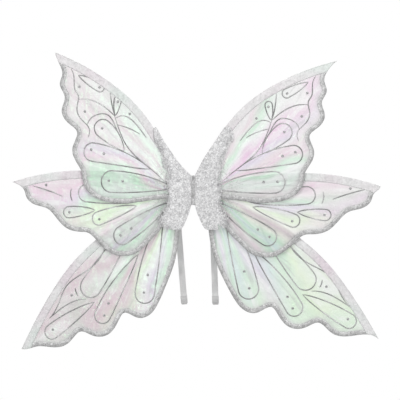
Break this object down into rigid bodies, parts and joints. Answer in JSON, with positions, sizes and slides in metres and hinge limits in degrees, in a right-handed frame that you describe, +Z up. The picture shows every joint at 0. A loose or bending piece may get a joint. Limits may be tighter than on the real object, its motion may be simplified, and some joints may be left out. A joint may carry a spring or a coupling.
{
  "type": "fairy wings",
  "caption": "Iridescent film fairy wings with glitter veins and scalloped edges, wired leading edges that fan and fold, a back pad and elastic arm loops.",
  "frame": {"origin": "centre of the back pad's flat rear face, which rests on the wearer's back", "axes": "+Z up, +Y out of the pad's rear face into the wearer, +X across the wings"},
  "size_m": [0.8812, 0.1977, 0.7094],
  "materials": {
    "iridescent_film": "iridescent translucent film",
    "band_fabric": "pale grey satin tape",
    "glitter_print": "grey glitter print",
    "dot_glitter": "raised grey glitter dots",
    "cover_fabric": "silver glitter fabric",
    "elastic": "ribbed grey elastic webbing",
    "pad_fabric": "padded pale grey fabric",
    "board": "stiff plastic board",
    "foam": "dense foam",
    "wire_steel": "spring steel wire",
    "rivet_metal": "turned aluminium"
  },
  "bodies": {
    "harness": {"spine_tape": "cover_fabric", "spine_block": "board", "back_plate": "board", "back_pad": "pad_fabric", "strap_bars": "wire_steel"},
    "left_half": {"left_root_cover": "cover_fabric", "left_root_core": "foam", "left_root_plate": "board", "left_pivot_rivet": "rivet_metal", "left_spacers": "rivet_metal"},
    "left_upper_wing": {"left_upper_film": "iridescent_film", "left_upper_edge_tape": "band_fabric", "left_upper_edging": "glitter_print", "left_upper_veins": "glitter_print", "left_upper_dots": "dot_glitter", "left_upper_rod_pocket": "band_fabric", "left_upper_rod": "wire_steel"},
    "left_middle_wing": {"left_middle_film": "iridescent_film", "left_middle_edge_tape": "band_fabric", "left_middle_edging": "glitter_print", "left_middle_veins": "glitter_print", "left_middle_dots": "dot_glitter", "left_middle_rod_pocket": "band_fabric", "left_middle_rod": "wire_steel"},
    "left_lower_wing": {"left_lower_film": "iridescent_film", "left_lower_edge_tape": "band_fabric", "left_lower_edging": "glitter_print", "left_lower_veins": "glitter_print", "left_lower_dots": "dot_glitter", "left_lower_rod_pocket": "band_fabric", "left_lower_rod": "wire_steel"},
    "left_strap_loop": {"left_strap": "elastic"},
    "right_half": {"right_root_cover": "cover_fabric", "right_root_core": "foam", "right_root_plate": "board", "right_pivot_rivet": "rivet_metal", "right_spacers": "rivet_metal"},
    "right_upper_wing": {"right_upper_film": "iridescent_film", "right_upper_edge_tape": "band_fabric", "right_upper_edging": "glitter_print", "right_upper_veins": "glitter_print", "right_upper_dots": "dot_glitter", "right_upper_rod_pocket": "band_fabric", "right_upper_rod": "wire_steel"},
    "right_middle_wing": {"right_middle_film": "iridescent_film", "right_middle_edge_tape": "band_fabric", "right_middle_edging": "glitter_print", "right_middle_veins": "glitter_print", "right_middle_dots": "dot_glitter", "right_middle_rod_pocket": "band_fabric", "right_middle_rod": "wire_steel"},
    "right_lower_wing": {"right_lower_film": "iridescent_film", "right_lower_edge_tape": "band_fabric", "right_lower_edging": "glitter_print", "right_lower_veins": "glitter_print", "right_lower_dots": "dot_glitter", "right_lower_rod_pocket": "band_fabric", "right_lower_rod": "wire_steel"},
    "right_strap_loop": {"right_strap": "elastic"}
  },
  "joints": [
    {"name": "left_fold", "type": "hinge", "parent": "harness", "child": "left_half", "pos_m": [-0.004, -0.0308, 0], "axis": [0, 0, 1], "range_deg": [-20, 55]},
    {"name": "left_upper_fan", "type": "hinge", "parent": "left_half", "child": "left_upper_wing", "pos_m": [-0.03407, -0.04174, -0.004], "axis": [-0.342, 0.9397, 0], "range_deg": [-15, 8]},
    {"name": "left_middle_fan", "type": "hinge", "parent": "left_half", "child": "left_middle_wing", "pos_m": [-0.03407, -0.04174, -0.004], "axis": [-0.342, 0.9397, 0], "range_deg": [-10, 10]},
    {"name": "left_lower_fan", "type": "hinge", "parent": "left_half", "child": "left_lower_wing", "pos_m": [-0.03407, -0.04174, -0.004], "axis": [-0.342, 0.9397, 0], "range_deg": [-12, 10]},
    {"name": "left_strap_swing", "type": "hinge", "parent": "harness", "child": "left_strap_loop", "pos_m": [-0.044, -0.0026, 0.024], "axis": [1, 0, 0], "range_deg": [0, 75]},
    {"name": "right_fold", "type": "hinge", "parent": "harness", "child": "right_half", "pos_m": [0.004, -0.0308, 0], "axis": [0, 0, -1], "range_deg": [-10, 65]},
    {"name": "right_upper_fan", "type": "hinge", "parent": "right_half", "child": "right_upper_wing", "pos_m": [0.03551, -0.03636, -0.004], "axis": [-0.1736, -0.9848, 0], "range_deg": [-15, 8]},
    {"name": "right_middle_fan", "type": "hinge", "parent": "right_half", "child": "right_middle_wing", "pos_m": [0.03551, -0.03636, -0.004], "axis": [-0.1736, -0.9848, 0], "range_deg": [-10, 10]},
    {"name": "right_lower_fan", "type": "hinge", "parent": "right_half", "child": "right_lower_wing", "pos_m": [0.03551, -0.03636, -0.004], "axis": [-0.1736, -0.9848, 0], "range_deg": [-12, 10]},
    {"name": "right_strap_swing", "type": "hinge", "parent": "harness", "child": "right_strap_loop", "pos_m": [0.044, -0.0026, 0.024], "axis": [1, 0, 0], "range_deg": [0, 75]}
  ]
}
